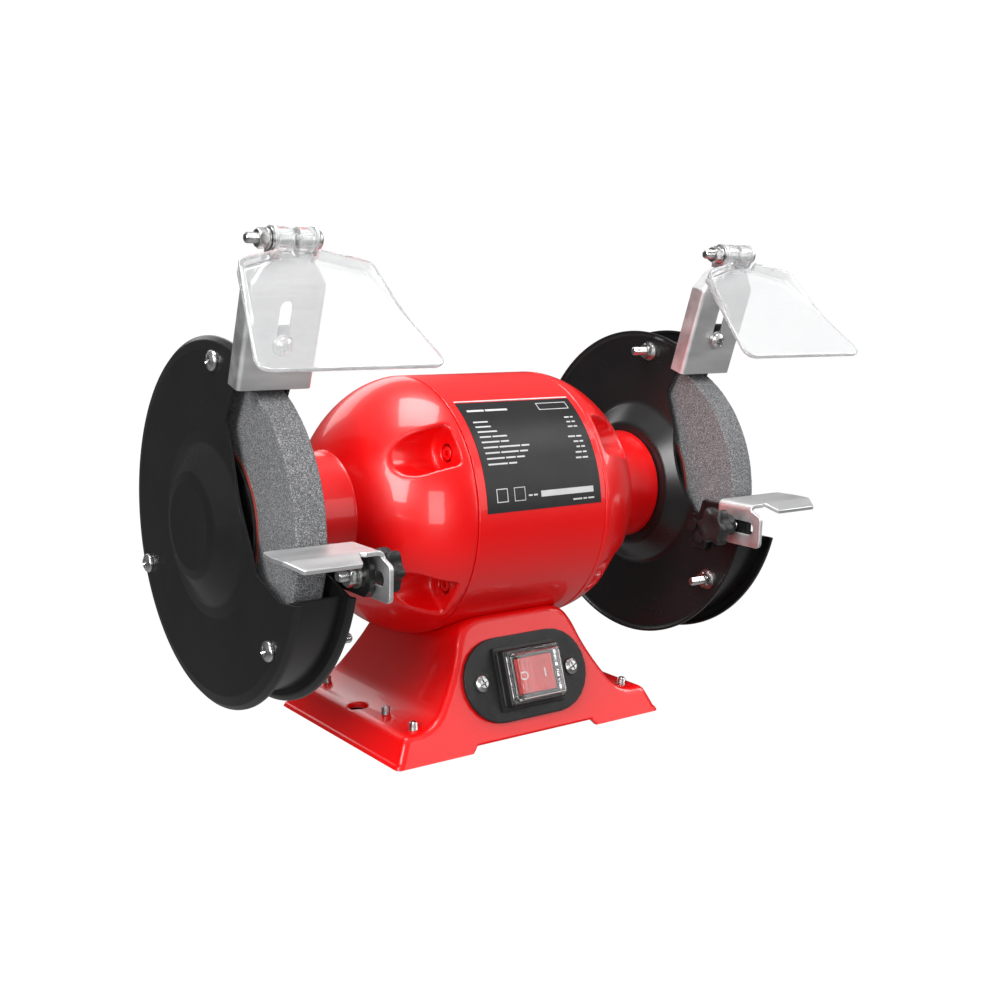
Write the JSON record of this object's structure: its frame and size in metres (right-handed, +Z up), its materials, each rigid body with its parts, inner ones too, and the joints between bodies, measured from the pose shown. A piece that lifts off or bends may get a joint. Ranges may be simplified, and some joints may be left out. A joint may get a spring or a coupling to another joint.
{
  "type": "bench grinder",
  "caption": "Bench grinder: horizontal motor on a hollow foot, a guarded grinding wheel at each end, tool rests, clear tilting eye shields and a rocker switch.",
  "frame": {"origin": "on the plane the base's lower rim stands on, straight below the middle of the shaft", "axes": "+X along the shaft towards the right-hand wheel, -Y towards the operator, +Z up"},
  "size_m": [0.3652, 0.2066, 0.2587],
  "materials": {
    "red_paint": "gloss",
    "black_paint": "satin",
    "dark_steel": "satin",
    "zinc_steel": "satin zinc plating",
    "galvanised_steel": "satin",
    "black_plastic": "matt",
    "clear_plastic": "clear",
    "red_plastic": "gloss, translucent",
    "grey_abrasive": "rough, gritty",
    "red_paper": "matt card",
    "copper_wire": "varnished",
    "laminated_steel": "laminated",
    "bearing_steel": "ground",
    "plate_label": "satin printed foil",
    "white_plastic": "matt"
  },
  "bodies": {
    "frame": {"base": "red_paint", "base_plate": "dark_steel", "base_plate_screws": "zinc_steel", "saddle_screws": "zinc_steel", "cable_gland": "black_plastic", "capacitor": "white_plastic", "capacitor_clip": "zinc_steel", "terminal_block": "white_plastic", "motor_shell": "red_paint", "left_end_bell": "red_paint", "right_end_bell": "red_paint", "through_bolts": "red_paint", "through_bolt_nuts": "red_paint", "stator_core": "laminated_steel", "stator_windings": "copper_wire", "bearing_outer_rings": "bearing_steel", "wave_washer": "zinc_steel", "rating_plate": "plate_label", "left_inner_guard": "black_paint", "right_inner_guard": "black_paint", "left_guard_cover": "black_paint", "right_guard_cover": "black_paint", "guard_screws": "zinc_steel", "guard_nuts": "zinc_steel", "neck_screws": "zinc_steel", "left_rest_arm": "black_paint", "right_rest_arm": "black_paint", "arm_rivets": "dark_steel", "rest_nuts": "zinc_steel", "bracket_screws": "zinc_steel", "bracket_nuts": "zinc_steel", "switch_panel": "black_plastic", "switch_housing": "black_plastic", "switch_cover": "clear_plastic", "switch_screws": "zinc_steel"},
    "spindle": {"shaft": "bearing_steel", "rotor_core": "laminated_steel", "bearing_inner_rings": "bearing_steel", "bearing_balls": "bearing_steel", "inner_flanges": "dark_steel", "outer_flanges": "dark_steel", "wheel_blotters": "red_paper", "left_wheel": "grey_abrasive", "right_wheel": "grey_abrasive", "left_wheel_nut": "zinc_steel", "right_wheel_nut": "zinc_steel"},
    "left_bracket": {"left_spark_bracket": "galvanised_steel", "left_hinge_bolt": "zinc_steel"},
    "right_bracket": {"right_spark_bracket": "galvanised_steel", "right_hinge_bolt": "zinc_steel"},
    "left_shield": {"left_eye_shield": "clear_plastic"},
    "right_shield": {"right_eye_shield": "clear_plastic"},
    "left_rest": {"left_tool_rest": "galvanised_steel"},
    "right_rest": {"right_tool_rest": "galvanised_steel"},
    "left_knob": {"left_rest_knob": "black_plastic", "left_rest_stud": "zinc_steel"},
    "right_knob": {"right_rest_knob": "black_plastic", "right_rest_stud": "zinc_steel"},
    "rocker": {"switch_rocker": "red_plastic"}
  },
  "joints": [
    {"name": "spindle_spin", "type": "hinge", "parent": "frame", "child": "spindle", "pos_m": [0, 0, 0.1177], "axis": [1, 0, 0], "continuous": true},
    {"name": "left_bracket_slide", "type": "slide", "parent": "frame", "child": "left_bracket", "axis": [0, -0.2924, 0.9563], "range_m": [-0.002, 0.002]},
    {"name": "left_shield_tilt", "type": "hinge", "parent": "left_bracket", "child": "left_shield", "pos_m": [-0.14, -0.06, 0.2527], "axis": [1, 0, 0], "range_deg": [-80, 8]},
    {"name": "left_rest_slide", "type": "slide", "parent": "frame", "child": "left_rest", "axis": [0, 1, 0], "range_m": [-0.0032, 0.0015]},
    {"name": "left_knob_turn", "type": "hinge", "parent": "frame", "child": "left_knob", "pos_m": [-0.119, -0.086, 0.1065], "axis": [-1, 0, 0], "range_deg": [-360, 0]},
    {"name": "right_bracket_slide", "type": "slide", "parent": "frame", "child": "right_bracket", "axis": [0, -0.2924, 0.9563], "range_m": [-0.002, 0.002]},
    {"name": "right_shield_tilt", "type": "hinge", "parent": "right_bracket", "child": "right_shield", "pos_m": [0.1364, -0.06, 0.2527], "axis": [1, 0, 0], "range_deg": [-80, 8]},
    {"name": "right_rest_slide", "type": "slide", "parent": "frame", "child": "right_rest", "axis": [0, 1, 0], "range_m": [-0.0032, 0.0015]},
    {"name": "right_knob_turn", "type": "hinge", "parent": "frame", "child": "right_knob", "pos_m": [0.119, -0.086, 0.1065], "axis": [1, 0, 0], "range_deg": [-360, 0]},
    {"name": "switch_rock", "type": "hinge", "parent": "frame", "child": "rocker", "pos_m": [-0.001, -0.06135, 0.03371], "axis": [0, 0.342, 0.9397], "range_deg": [0, 20]}
  ]
}
